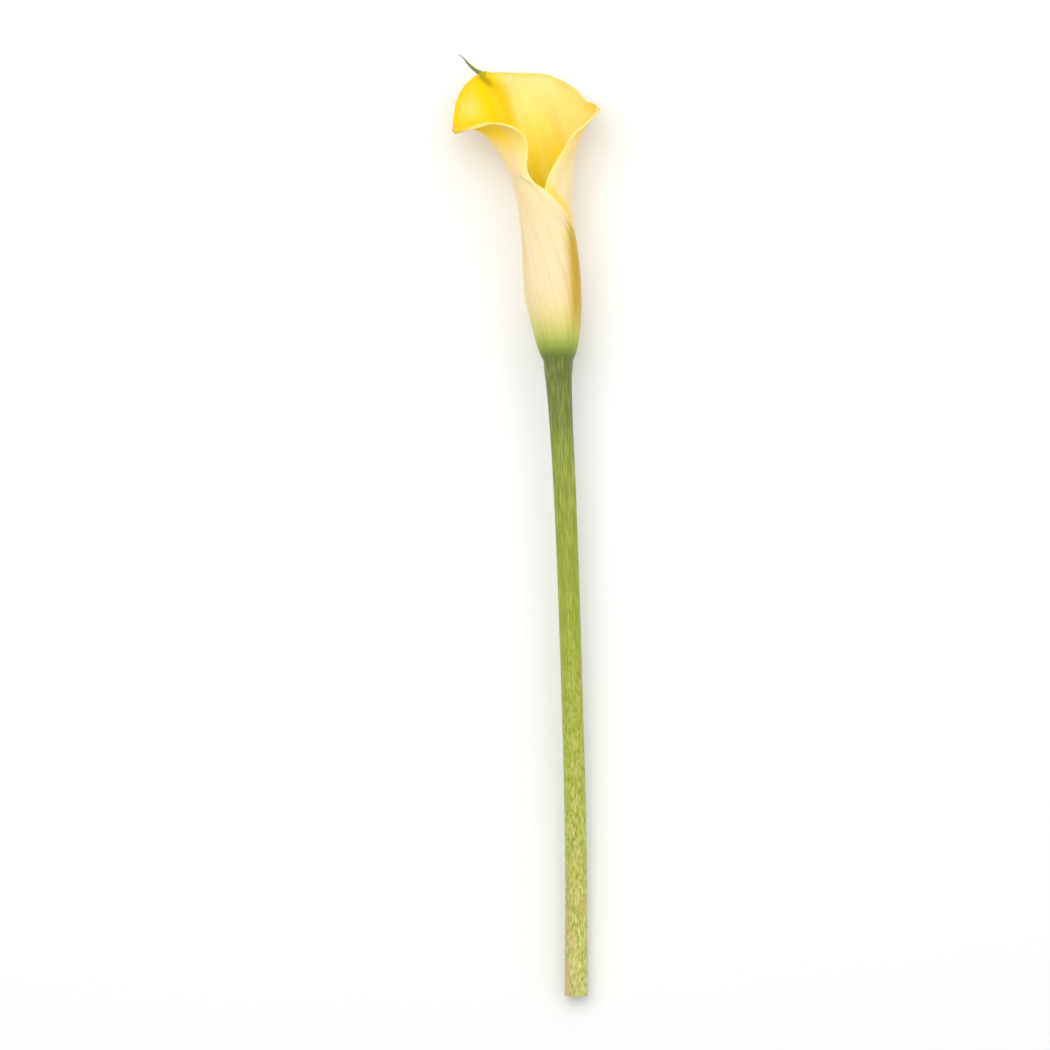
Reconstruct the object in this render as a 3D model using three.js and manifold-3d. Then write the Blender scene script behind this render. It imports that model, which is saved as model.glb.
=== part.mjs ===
import * as THREE from "three";
import { mergeVertices } from "three/addons/utils/BufferGeometryUtils.js";
import Module from "manifold-3d";

// Arum lily flower as picked: the rolled spathe with its tail, the spadix inside it and the cut stalk.
// Millimetres, +Z up. It lies on z = 0 with its stalk along -Y, its mouth towards +Y and its opening upwards.
// A place on the spathe is an azimuth round the tube's axis, in degrees, and a station up its wall, in mm.
// Azimuth 0 looks up, 90 looks along +X, 180 looks down and 270 looks along -X.

// Axis of the flower, measured from the foot of the spathe.
const AXIS_HEIGHT = 15.25;
const AXIS_RISE = 0.052;
const TUBE_LEAN = 0.0725;
const MOUTH_BEND = 0.00145;
const BEND_START = 48;

// The sheet: its thickness, and the distance from one turn of the roll to the next.
const WALL = 1;
const EDGE_WALL = 0.65;
const EDGE_WIDTH = 0.07;
const TURN_SPACING = 1.4;
const FOOT_SPACING_SHARE = 0.55;
const FOOT_LENGTH = 6;
const ROLL_OPENS_AT = 54;
const ROLL_OPEN_LENGTH = 28;

// Height and radius of the tube, with the slope that its wall has where the flare starts.
const TUBE = [
  [0, 4.5], [2, 5.4], [5, 6.25], [9, 7], [14, 7.8], [20, 8.5],
  [28, 8.85], [40, 8.95], [46, 9.1], [52, 9.45], [58, 9.95], [64, 10.6],
];
const FLARE_START = 62;
const FLARE_ANGLE = 6.3;
const WALL_END = 100;

// The lip's edge: azimuth, reach from the axis, height, angle of the wall from the axis, and how far up
// the flare keeps to the tube, as a share of its length.
const LIP = [
  [0, 13, 77, 20, 0.45], [25, 13.6, 77.3, 26, 0.45], [45, 15.2, 77.8, 36, 0.5], [64, 18.2, 80, 48, 0.6],
  [78, 21.1, 83.6, 50, 0.59], [88, 22.3, 86, 50, 0.58], [103, 21.4, 87.8, 60, 0.57],
  [114, 20.7, 88.3, 73, 0.6], [125, 20.9, 90.2, 90, 0.58], [136, 21.6, 92.6, 105, 0.57],
  [146, 22.4, 93.9, 119, 0.56], [156, 22.3, 94.5, 133, 0.55], [170, 20.9, 94.3, 150, 0.55],
  [187, 20.5, 94, 162, 0.55], [203, 21.2, 94.1, 164, 0.54], [213, 21.9, 94.3, 157, 0.54],
  [224, 22.7, 95.3, 140, 0.53], [236, 24.2, 94.8, 113, 0.52], [248, 25.8, 90.8, 102, 0.5],
  [259, 27.1, 85.8, 98, 0.47], [270, 28.5, 79.3, 98, 0.46], [283, 25.8, 80.5, 97, 0.46],
  [298, 21.6, 81.3, 86, 0.48], [313, 18.2, 81.4, 64, 0.46], [327, 15.6, 80.3, 45, 0.45],
  [341, 13.7, 78, 28, 0.45], [360, 13, 77, 20, 0.45],
];
const LIP_PULL = 0.4;

// The sheet's two margins: share of the way up, azimuth, and station up the wall. The inner margin lies under
// the outer one in the tube, and they part at the V below the mouth.
const INNER_MARGIN = [
  [0, -100, 0], [0.15, -96, 13], [0.3, -80, 27], [0.45, -50, 40], [0.56, -22, 51], [0.66, 0, 58.8],
  [0.73, 16.5, 69], [0.77, 24.5, 76], [0.82, 36, 85], [0.87, 46, 93], [0.92, 58, 98.5], [0.96, 72, 100],
  [1, 88, 100],
];
const OUTER_MARGIN = [
  [0, 495, 0], [0.15, 490, 13], [0.3, 474, 27], [0.42, 450, 39.5], [0.52, 418, 47.5], [0.6, 388, 53.6],
  [0.66, 360, 58.8], [0.7, 347, 62], [0.75, 339, 70], [0.8, 337.5, 80], [0.85, 336.5, 90],
  [0.89, 332, 97], [0.93, 318, 100], [1, 270, 100],
];
const MARGIN_HOLD = 4;
const SHEET_STEPS_ROUND = 60;
const SHEET_STEPS_UP = 27;
const CROWDING_AT_LIP = 0.35;

// The tail: the green thread that the tip of the sheet ends in.
const TAIL_PATH = [
  [0, -25, 96.6, 8], [0.25, -27.3, 99.3, 8], [0.6, -30.7, 102.2, 8.3], [1, -34.3, 105.1, 9.4],
];
const TAIL_RADIUS = [[0, 0.95], [0.25, 0.85], [0.6, 0.55], [1, 0.32]];
const TAIL_ACROSS = new THREE.Vector3(0.66, 0.75, 0).normalize();
const TAIL_SIDES = 8;
const TAIL_STEPS = 8;

// The spadix: a stalked finger with pistils round its lower part and stamens over the rest.
const SPADIX_LENGTH = 38;
const SPADIX_RADIUS = [[0, 2.8], [4, 2.8], [6, 2.9], [14, 2.8], [26, 2.6], [34, 2], [37, 1.3], [38, 0.5]];
const PISTILS = { from: 6.8, to: 13.2, count: 26, radius: 1.4, sunk: 0.55 };
const STAMENS = { from: 15.4, to: 36.6, count: 84, radius: 1.25, sunk: 0.5 };
const GOLDEN_ANGLE = Math.PI * (3 - Math.sqrt(5));
const SPADIX_SIDES = 14;
const SPADIX_STEPS = 14;

// The stalk: distance from the spathe's foot with the sideways shift of its middle, and with its radius.
const STALK_LENGTH = 217;
const STALK_PATH = [[-217, 6.4], [-165, 6.2], [-116, 5], [-50, 2.7], [0, 0]];
const STALK_RADIUS = [[-217, 4], [-180, 3.75], [-90, 3.7], [-25, 4], [-8, 4.45], [0, 5]];
const STALK_SIDES = 24;
const STALK_STEPS = 26;
const CUT_END_FLAT = 0.15;
const SEAT_GAP = 0.3;

// Share of the sheet stepped over to read its slope, and the distance within which corners are one.
const PROBE = 0.002;
const WELD = 1e-4;

const COLOURS = { spathe: "#f6e08a", spadix: "#dcae2c", flower_stem: "#a3b23c" };

const wasm = await Module();
wasm.setup();

// Smooth curve through a list of stations, read at x from the given column.
function through(stations, x, column = 1) {
  const last = stations.length - 1;
  const at = Math.min(Math.max(x, stations[0][0]), stations[last][0]);
  let i = 0;
  while (i < last - 1 && at > stations[i + 1][0]) i += 1;
  const slope = (k) => {
    const before = stations[Math.max(k - 1, 0)];
    const after = stations[Math.min(k + 1, last)];
    return (after[column] - before[column]) / (after[0] - before[0]);
  };
  const span = stations[i + 1][0] - stations[i][0];
  const t = (at - stations[i][0]) / span;
  const start = (1 + 2 * t) * (1 - t) ** 2 * stations[i][column] + t * (1 - t) ** 2 * span * slope(i);
  const end = t * t * (3 - 2 * t) * stations[i + 1][column] + t * t * (t - 1) * span * slope(i + 1);
  return start + end;
}

function ramp(x) {
  return THREE.MathUtils.smoothstep(x, 0, 1);
}

function axisX(y) {
  return -TUBE_LEAN * y - MOUTH_BEND * Math.max(y - BEND_START, 0) ** 2;
}

function axisZ(y) {
  return AXIS_HEIGHT + AXIS_RISE * y;
}

// Reach from the axis and height, at a station up the wall: the tube, then a curve that leaves it at the
// tube's own slope and meets the lip's edge at the lip's angle.
function wallAt(azimuth, station) {
  if (station <= FLARE_START) return [through(TUBE, station), station];
  const [reach, height, angle, hold] = [1, 2, 3, 4].map((column) => through(LIP, azimuth, column));
  const root = through(TUBE, FLARE_START);
  const length = Math.hypot(reach - root, height - FLARE_START);
  const leave = THREE.MathUtils.degToRad(FLARE_ANGLE);
  const arrive = THREE.MathUtils.degToRad(angle);
  const start = new THREE.Vector2(root, FLARE_START);
  const edge = new THREE.Vector2(reach, height);
  const out = new THREE.Vector2(Math.sin(leave), Math.cos(leave)).multiplyScalar(length * hold);
  const back = new THREE.Vector2(Math.sin(arrive), Math.cos(arrive)).multiplyScalar(-length * LIP_PULL);
  const flare = new THREE.CubicBezierCurve(start, start.clone().add(out), edge.clone().add(back), edge);
  return flare.getPoint((station - FLARE_START) / (WALL_END - FLARE_START)).toArray();
}

// Outer face of the spathe. Round goes from the inner margin, 0, to the outer, 1, and up from foot to lip.
function sheetFace(round, up) {
  const first = through(INNER_MARGIN, up, 1);
  const turn = through(OUTER_MARGIN, up, 1) - first;
  const azimuth = first + turn * round;
  const level = WALL_END * up;
  const innerPull = (through(INNER_MARGIN, up, 2) - level) * (1 - round) ** MARGIN_HOLD;
  const outerPull = (through(OUTER_MARGIN, up, 2) - level) * round ** MARGIN_HOLD;
  const station = level + innerPull + outerPull;
  const [reach, height] = wallAt(THREE.MathUtils.clamp(azimuth, 0, 360), station);
  const rolled = 1 - ramp((height - ROLL_OPENS_AT) / ROLL_OPEN_LENGTH);
  const foot = THREE.MathUtils.lerp(FOOT_SPACING_SHARE, 1, Math.min(station / FOOT_LENGTH, 1));
  const radius = reach + TURN_SPACING * foot * rolled * (azimuth - 180) / 360;
  const angle = THREE.MathUtils.degToRad(azimuth);
  const x = axisX(height) + radius * Math.sin(angle);
  return new THREE.Vector3(x, height, axisZ(height) + radius * Math.cos(angle));
}

// Outward direction of the sheet there, from two short steps on its face.
function sheetOutward(round, up) {
  const across = sheetFace(Math.min(round + PROBE, 1), up).sub(sheetFace(Math.max(round - PROBE, 0), up));
  const along = sheetFace(round, Math.min(up + PROBE, 1)).sub(sheetFace(round, Math.max(up - PROBE, 0)));
  return across.cross(along).normalize();
}

function sheetThickness(round, up) {
  const fromEdge = Math.min(round, 1 - round, up, 1 - up);
  return THREE.MathUtils.lerp(EDGE_WALL, WALL, ramp(fromEdge / EDGE_WIDTH));
}

// Point on the sheet's outer or inner face, with what would sink below z = 0 pressed flat on it.
function sheetPoint(round, rise, inner) {
  const up = rise * (1 + CROWDING_AT_LIP * (1 - rise));
  const outward = sheetOutward(round, up);
  const point = sheetFace(round, up);
  if (inner) point.addScaledVector(outward, -sheetThickness(round, up));
  const underIt = EDGE_WALL * Math.max(inner ? -outward.z : outward.z, 0);
  point.z = Math.max(point.z, underIt);
  return point;
}

// Closed sheet with an outer face, an inner face split in the same triangles, and a strip round their edges.
function closedSheet(acrossSteps, alongSteps, pointAt) {
  const grid = new THREE.PlaneGeometry(1, 1, acrossSteps, alongSteps);
  const uv = grid.attributes.uv;
  const inner = uv.count;
  const positions = [];
  for (const isInner of [false, true]) {
    for (let i = 0; i < uv.count; i += 1) {
      positions.push(...pointAt(uv.getX(i), uv.getY(i), isInner));
    }
  }
  const index = [];
  const triangles = grid.index.array;
  for (let i = 0; i < triangles.length; i += 3) {
    const [a, b, c] = triangles.slice(i, i + 3);
    index.push(a, b, c, c + inner, b + inner, a + inner);
  }
  const row = acrossSteps + 1;
  const edge = [];
  for (let i = 0; i < acrossSteps; i += 1) edge.push(i);
  for (let j = 0; j < alongSteps; j += 1) edge.push(j * row + acrossSteps);
  for (let i = acrossSteps; i > 0; i -= 1) edge.push(alongSteps * row + i);
  for (let j = alongSteps; j > 0; j -= 1) edge.push(j * row);
  edge.forEach((a, k) => {
    const b = edge[(k + 1) % edge.length];
    index.push(a, b, b + inner, a, b + inner, a + inner);
  });
  const geometry = new THREE.BufferGeometry();
  geometry.setAttribute("position", new THREE.Float32BufferAttribute(positions, 3));
  geometry.setIndex(index);
  return geometry;
}

// Round-sectioned body along a path, with flat ends. Its sections lie in the plane of side and +Z.
function roundBody(pathAt, radiusAt, sides, steps, side = new THREE.Vector3(1, 0, 0)) {
  const geometry = new THREE.CylinderGeometry(1, 1, 1, sides, steps);
  const position = geometry.attributes.position;
  for (let i = 0; i < position.count; i += 1) {
    const share = position.getY(i) + 0.5;
    const radius = radiusAt(share);
    const point = pathAt(share).addScaledVector(side, position.getX(i) * radius);
    position.setXYZ(i, point.x, point.y, Math.max(point.z + position.getZ(i) * radius, 0));
  }
  return geometry;
}

function solidOf(geometry) {
  const bare = geometry.clone();
  bare.deleteAttribute("normal");
  bare.deleteAttribute("uv");
  const welded = mergeVertices(bare, WELD);
  const mesh = new wasm.Mesh({
    numProp: 3,
    vertProperties: new Float32Array(welded.attributes.position.array),
    triVerts: new Uint32Array(welded.index.array),
  });
  return new wasm.Manifold(mesh);
}

function geometryOf(solid) {
  const mesh = solid.getMesh();
  const geometry = new THREE.BufferGeometry();
  geometry.setAttribute("position", new THREE.BufferAttribute(mesh.vertProperties, 3));
  geometry.setIndex(new THREE.BufferAttribute(mesh.triVerts, 1));
  geometry.computeVertexNormals();
  return geometry;
}

function meshOf(name, geometry) {
  const material = new THREE.MeshStandardMaterial({ color: COLOURS[name], roughness: 0.5, metalness: 0 });
  const mesh = new THREE.Mesh(geometry, material);
  mesh.name = name;
  return mesh;
}

function spathe() {
  const sheet = closedSheet(SHEET_STEPS_ROUND, SHEET_STEPS_UP, sheetPoint);
  const tailPath = (share) => {
    const [x, y, z] = [1, 2, 3].map((column) => through(TAIL_PATH, share, column));
    return new THREE.Vector3(x, y, z);
  };
  const tailRadius = (share) => through(TAIL_RADIUS, share);
  const tail = roundBody(tailPath, tailRadius, TAIL_SIDES, TAIL_STEPS, TAIL_ACROSS);
  return meshOf("spathe", geometryOf(solidOf(sheet).add(solidOf(tail))));
}

// Florets of one kind, set round the spadix by the golden angle.
function florets(kind, shape) {
  const places = [];
  for (let i = 0; i < kind.count; i += 1) {
    const y = THREE.MathUtils.lerp(kind.from, kind.to, i / (kind.count - 1));
    const angle = i * GOLDEN_ANGLE;
    const radius = through(SPADIX_RADIUS, y) - kind.sunk;
    const x = axisX(y) + radius * Math.sin(angle);
    const z = axisZ(y) + radius * Math.cos(angle);
    places.push(shape.clone().rotateY(angle).translate(x, y, z));
  }
  return places;
}

function spadix() {
  const pathAt = (share) => {
    const y = share * SPADIX_LENGTH;
    return new THREE.Vector3(axisX(y), y, axisZ(y));
  };
  const radiusAt = (share) => through(SPADIX_RADIUS, share * SPADIX_LENGTH);
  const core = roundBody(pathAt, radiusAt, SPADIX_SIDES, SPADIX_STEPS);
  const pistils = florets(PISTILS, new THREE.IcosahedronGeometry(PISTILS.radius));
  const stamens = florets(STAMENS, new THREE.OctahedronGeometry(STAMENS.radius));
  const whole = [...pistils, ...stamens].reduce((body, floret) => body.add(solidOf(floret)), solidOf(core));
  return meshOf("spadix", geometryOf(whole));
}

function flowerStem() {
  const length = STALK_LENGTH - SEAT_GAP;
  const endHeight = STALK_RADIUS[0][1] - CUT_END_FLAT;
  const pathAt = (share) => {
    const y = -STALK_LENGTH + share * length;
    const z = THREE.MathUtils.mapLinear(y, -STALK_LENGTH, 0, endHeight, AXIS_HEIGHT);
    return new THREE.Vector3(through(STALK_PATH, y), y, z);
  };
  const radiusAt = (share) => through(STALK_RADIUS, -STALK_LENGTH + share * length);
  return meshOf("flower_stem", geometryOf(solidOf(roundBody(pathAt, radiusAt, STALK_SIDES, STALK_STEPS))));
}

// The finished flower, moved so that the middle of its box stands over the origin.
const flower = new THREE.Group();
flower.add(spathe(), spadix(), flowerStem());
const box = new THREE.Box3().setFromObject(flower);
const centre = box.getCenter(new THREE.Vector3());
flower.position.set(-centre.x, -centre.y, -box.min.z);

export default flower;
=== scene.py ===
import math

import bmesh
import bpy
import numpy as np
from mathutils import Matrix, Vector


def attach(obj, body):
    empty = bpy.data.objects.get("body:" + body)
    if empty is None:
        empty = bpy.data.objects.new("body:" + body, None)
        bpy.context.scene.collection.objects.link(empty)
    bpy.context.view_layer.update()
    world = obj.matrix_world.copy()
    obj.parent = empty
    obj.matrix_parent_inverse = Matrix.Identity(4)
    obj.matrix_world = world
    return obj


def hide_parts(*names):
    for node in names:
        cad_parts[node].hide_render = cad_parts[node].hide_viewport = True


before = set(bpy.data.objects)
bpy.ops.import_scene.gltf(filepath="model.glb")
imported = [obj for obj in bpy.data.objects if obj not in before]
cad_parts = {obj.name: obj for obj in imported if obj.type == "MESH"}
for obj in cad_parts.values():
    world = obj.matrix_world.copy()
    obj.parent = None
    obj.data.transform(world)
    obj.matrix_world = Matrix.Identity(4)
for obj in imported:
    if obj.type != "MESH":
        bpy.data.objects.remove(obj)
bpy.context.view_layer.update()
bpy.ops.object.select_all(action="DESELECT")


# Spathe: one waxy bract, a millimetre thick and thinner at its margins, that grows from the top of the stalk.
# It is rolled once and a half round the spadix. Above the roll it flares, rolls back at the lip, and ends in
# a green thread. Its faces have fine veins that run up the tube and bend towards that thread.
MM = 0.001
SPATHE_FOOT = Vector((11.1648, 55.8299, 0)) * MM
# The axis of the tube, in millimetres as all that follows: its height over the surface, and how it rises,
# leans and bends towards the mouth.
AXIS_HEIGHT = 15.25
AXIS_RISE = 0.052
TUBE_LEAN = 0.0725
MOUTH_BEND = 0.00145
BEND_START = 48

# Thickness of the wall and of its edge, and the share of the sheet over which it thins.
WALL = 1
EDGE_WALL = 0.65
EDGE_WIDTH = 0.07
# How far apart the turns of the roll lie, closer at the foot, and where the roll opens.
TURN_SPACING = 1.4
FOOT_SPACING_SHARE = 0.55
FOOT_LENGTH = 6
ROLL_OPENS_AT = 54
ROLL_OPEN_LENGTH = 28

# Height and radius of the tube, and where and how steeply the flare leaves it.
TUBE = [
    (0, 4.5), (2, 5.4), (5, 6.25), (9, 7), (14, 7.8), (20, 8.5),
    (28, 8.85), (40, 8.95), (46, 9.1), (52, 9.45), (58, 9.95), (64, 10.6),
]
FLARE_START = 62
FLARE_ANGLE = 6.3
WALL_END = 100

# The lip's edge: azimuth, in degrees from the top towards +X, reach from the axis, height, angle of the wall
# from the axis, and how far up the flare keeps to the tube.
LIP = [
    (0, 13, 77, 20, 0.45), (25, 13.6, 77.3, 26, 0.45), (45, 15.2, 77.8, 36, 0.5), (64, 18.2, 80, 48, 0.6),
    (78, 21.1, 83.6, 50, 0.59), (88, 22.3, 86, 50, 0.58), (103, 21.4, 87.8, 60, 0.57),
    (114, 20.7, 88.3, 73, 0.6), (125, 20.9, 90.2, 90, 0.58), (136, 21.6, 92.6, 105, 0.57),
    (146, 22.4, 93.9, 119, 0.56), (156, 22.3, 94.5, 133, 0.55), (170, 20.9, 94.3, 150, 0.55),
    (187, 20.5, 94, 162, 0.55), (203, 21.2, 94.1, 164, 0.54), (213, 21.9, 94.3, 157, 0.54),
    (224, 22.7, 95.3, 140, 0.53), (236, 24.2, 94.8, 113, 0.52), (248, 25.8, 90.8, 102, 0.5),
    (259, 27.1, 85.8, 98, 0.47), (270, 28.5, 79.3, 98, 0.46), (283, 25.8, 80.5, 97, 0.46),
    (298, 21.6, 81.3, 86, 0.48), (313, 18.2, 81.4, 64, 0.46), (327, 15.6, 80.3, 45, 0.45),
    (341, 13.7, 78, 28, 0.45), (360, 13, 77, 20, 0.45),
]
# How far back into the flare the wall keeps the angle that it has at the lip.
LIP_PULL = 0.4

# The two margins: share of the way up, azimuth, and station, which is counted up the wall from its foot.
INNER_MARGIN = [
    (0, -100, 0), (0.15, -96, 13), (0.3, -80, 27), (0.45, -50, 40), (0.56, -22, 51), (0.66, 0, 58.8),
    (0.73, 18.5, 69), (0.77, 27.5, 76), (0.82, 39, 85), (0.87, 49, 93), (0.92, 60, 98.5), (0.96, 73, 100),
    (1, 88, 100),
]
OUTER_MARGIN = [
    (0, 495, 0), (0.15, 490, 13), (0.3, 474, 27), (0.42, 450, 39.5), (0.52, 418, 47.5), (0.6, 388, 53.6),
    (0.66, 360, 58.8), (0.7, 347, 62), (0.75, 339, 70), (0.8, 337.5, 80), (0.85, 336.5, 90),
    (0.89, 332, 97), (0.93, 318, 100), (1, 270, 100),
]
# How near to the margins a row keeps its level, and how much closer the rows lie at the lip.
MARGIN_HOLD = 4
CROWDING_AT_LIP = 0.35

# The midrib, where the turn of the sheet is eased, and the tip that the lip is drawn out to there.
MIDRIB = 226
EASED_WIDTH = 26
EASING_RISE = 10
EASING_ROUNDS = 130
TIP = (-25.4, 98.3, 7.0)
TIP_WIDTH = 6
TIP_START = 91
# How far the lip is drawn to the side and forward, by azimuth, and the left margin, by share of the way up.
LIP_DRAWN = [
    (116, 0, 0), (127, 0.15, 0.2), (136, 0.35, 0.55), (144, 0.4, 0.7), (151, 0.2, 0.45), (158, 0, 0.5),
    (165, 0, 0.8), (215, 0, 0.95), (224, -0.2, 0.9), (230, -0.9, 1.2), (236, -1.15, 1.1), (241, -0.9, 0.8),
    (246, -0.6, 0.4), (256, -0.5, 0.1), (265, -0.2, 0), (272, 0, 0),
]
LIP_DRAWN_FROM = 78
MARGIN_DRAWN = [
    (0.62, 0, 0), (0.65, -0.3, 0), (0.67, -1.1, -0.1), (0.69, -1.7, -0.2), (0.72, -1.75, -0.3),
    (0.75, -1.3, -0.5), (0.78, -0.6, -0.7), (0.815, 0.1, -0.9), (0.85, 0.8, -0.9), (0.88, 1.1, -0.9),
    (0.905, 0.6, -0.9), (0.93, 0, -1), (0.945, -0.2, -1.2), (0.978, 0, -2.6), (1, -0.2, -1.1),
]
MARGIN_DRAWN_WIDTH = 9
# Swells of the wall under the two lobes and low in the tube: azimuth, station, their widths, and how far the
# wall is drawn to the side and forward.
SWELLS = [(275, 74, 40, 8, -0.9, -0.9), (72, 83, 50, 10, 1.2, -0.4), (270, 26, 50, 10, -0.6, 0)]
# The gutter of the midrib, and the tuck of the outer margin against the turn below it.
GUTTER_DEPTH = 0.2
GUTTER_WIDTH = 1.2
GUTTER_LENGTH = 15
GUTTER_FADE = 6
TUCK = 0.5
TUCK_WIDTH = 4.0
# The thread: columns of the sheet that it takes up, and its rings: share of its length, place, half width and
# half depth.
THREAD_COLUMNS = 4
THREAD = [
    (0.05, -26.0, 98.55, 7.1, 1.0, 0.62), (0.14, -26.9, 99.0, 7.2, 0.84, 0.62),
    (0.27, -28.0, 99.7, 7.4, 0.68, 0.6), (0.42, -29.3, 100.7, 7.8, 0.57, 0.54),
    (0.58, -30.5, 101.85, 8.2, 0.49, 0.46), (0.74, -31.5, 103.05, 8.6, 0.4, 0.38),
    (0.88, -32.5, 104.2, 9.0, 0.3, 0.3), (1.00, -34.0, 105.1, 9.4, 0.2, 0.2),
]

SHEET_COLUMNS = 150
SHEET_ROWS = 68

# Veins and broad pleats, measured across the widest part of the sheet, and the waves of the lip.
RIGHT_HALF = 50
LEFT_HALF = 43
VEIN_BEND = 3
VEIN_SPACING = 2.3
VEIN_HEIGHT = 0.035
PLEAT_SPACING = 9.5
PLEAT_HEIGHT = 0.085
PLEAT_SWAY = 0.9
PLEAT_SWAY_LENGTH = 21
WAVE_HEIGHT = 0.15
WAVE_PACE = 0.11
WAVE_UNEVENNESS = 1.5
WAVE_UNEVEN_PACE = 0.037

# The painted shade in the inner face below the thread, darkest where the sheet is pinched: where it starts,
# and the way it runs.
SHADE_ROOT = (-26.9, 97.8)
SHADE_WAY = (0.695, -0.72)
PINCH_GREEN = (-25.8, 98.2)
# The middle of a painted sheen, a paler reflection in the left lobe.
SHEEN_PATCH = (-30.6, 86)


def through(stations, x, column=1):
    """Smooth curve through a list of stations, read at every x from the given column."""
    table = np.array(stations, float)
    at, value = table[:, 0], table[:, column]
    ends = np.pad(np.arange(len(at)), 1, mode="edge")
    before, after = ends[:-2], ends[2:]
    slope = (value[after] - value[before]) / (at[after] - at[before])
    x = np.clip(x, at[0], at[-1])
    i = np.clip(np.searchsorted(at, x) - 1, 0, len(at) - 2)
    span = at[i + 1] - at[i]
    t = (x - at[i]) / span
    start = (1 + 2 * t) * (1 - t) ** 2 * value[i] + t * (1 - t) ** 2 * span * slope[i]
    end = t * t * (3 - 2 * t) * value[i + 1] + t * t * (t - 1) * span * slope[i + 1]
    return start + end


def ramp(x):
    """Smooth step from 0 to 1."""
    x = np.clip(x, 0, 1)
    return x * x * (3 - 2 * x)


def rising(value, begins, full):
    """Smooth step from 0, where a value passes the place at which it begins, to 1 where it is full."""
    return ramp((value - begins) / (full - begins))


def bell(distance, width):
    """1 in the middle, about a third at the given distance from it, and next to nothing at twice that."""
    return np.exp(-(distance / width) ** 2)


def axis_x(y):
    return -TUBE_LEAN * y - MOUTH_BEND * np.maximum(y - BEND_START, 0) ** 2


def axis_z(y):
    return AXIS_HEIGHT + AXIS_RISE * y


def flare(reach, height, angle, hold, share):
    """Reach and height along the curve from the top of the tube to a place on the lip's edge."""
    root = through(TUBE, FLARE_START)
    length = np.hypot(reach - root, height - FLARE_START)
    leave = math.radians(FLARE_ANGLE)
    arrive = np.radians(angle)
    a, b, c, d = (1 - share) ** 3, 3 * share * (1 - share) ** 2, 3 * share ** 2 * (1 - share), share ** 3
    near, far = length * hold, length * LIP_PULL
    aside = a * root + b * (root + math.sin(leave) * near)
    aside += c * (reach - np.sin(arrive) * far) + d * reach
    ahead = a * FLARE_START + b * (FLARE_START + math.cos(leave) * near)
    ahead += c * (height - np.cos(arrive) * far) + d * height
    return aside, ahead


def wall_at(azimuth, station):
    """Reach from the axis and height, at a station up the wall."""
    share = np.clip((station - FLARE_START) / (WALL_END - FLARE_START), 0, 1)
    reach, height, angle, hold = (through(LIP, azimuth, column) for column in (1, 2, 3, 4))
    lip_reach, lip_height = flare(reach, height, angle, hold, share)
    in_tube = station <= FLARE_START
    tube = through(TUBE, np.minimum(station, FLARE_START))
    return np.where(in_tube, tube, lip_reach), np.where(in_tube, station, lip_height)


def sheet_station(across, up):
    """Azimuth and station of a place on the sheet."""
    first = through(INNER_MARGIN, up, 1)
    azimuth = first + (through(OUTER_MARGIN, up, 1) - first) * across
    level = WALL_END * up
    station = level + (through(INNER_MARGIN, up, 2) - level) * (1 - across) ** MARGIN_HOLD
    station += (through(OUTER_MARGIN, up, 2) - level) * across ** MARGIN_HOLD
    return azimuth, station


def sheet_face(across, up):
    """Outer face of the sheet: across goes from the inner margin to the outer one, up from foot to lip."""
    azimuth, station = sheet_station(across, up)
    reach, height = wall_at(np.clip(azimuth, 0, 360), station)
    rolled = 1 - ramp((height - ROLL_OPENS_AT) / ROLL_OPEN_LENGTH)
    foot = FOOT_SPACING_SHARE + (1 - FOOT_SPACING_SHARE) * np.minimum(station / FOOT_LENGTH, 1)
    radius = reach + TURN_SPACING * foot * rolled * (azimuth - 180) / 360
    from_margin = (through(OUTER_MARGIN, up, 1) - azimuth) * np.pi / 180 * radius
    radius -= TUCK * foot * rolled * (1 - ramp(from_margin / TUCK_WIDTH))
    angle = np.radians(azimuth)
    x = axis_x(height) + radius * np.sin(angle)
    z = axis_z(height) + radius * np.cos(angle)
    return np.stack([x, height, z], axis=-1)


def outward_of(grid):
    """Outward directions of a grid of points on the sheet."""
    outward = np.cross(np.gradient(grid, axis=1), np.gradient(grid, axis=0))
    return outward / np.linalg.norm(outward, axis=-1, keepdims=True)


def gutter(across, up):
    """How deep the gutter of the midrib is, from 0 to 1."""
    azimuth, station = sheet_station(across, up)
    reach, _ = wall_at(np.clip(azimuth, 0, 360), station)
    aside = (azimuth - MIDRIB) * np.pi / 180 * reach
    to_lip = WALL_END - station
    return bell(aside, GUTTER_WIDTH) * rising(to_lip, GUTTER_LENGTH, 0) * rising(to_lip, 0, GUTTER_FADE)


def vein_place(across, up):
    """How far a place on the sheet lies from the midrib, counted in veins that run out along the lip."""
    azimuth, _ = sheet_station(across, up)
    to_right = through(INNER_MARGIN, up, 1)
    to_left = through(OUTER_MARGIN, up, 1)
    right = azimuth < MIDRIB
    share = np.clip((azimuth - MIDRIB) / (np.where(right, to_right, to_left) - MIDRIB), 0, 1)
    below_lip = VEIN_BEND * (1 - up)
    left_over = (1 - share) * below_lip / (1 - share + below_lip + 1e-6)
    q = share / (share + left_over + 1e-6)
    return np.where(right, -q * RIGHT_HALF, q * LEFT_HALF)


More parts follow.
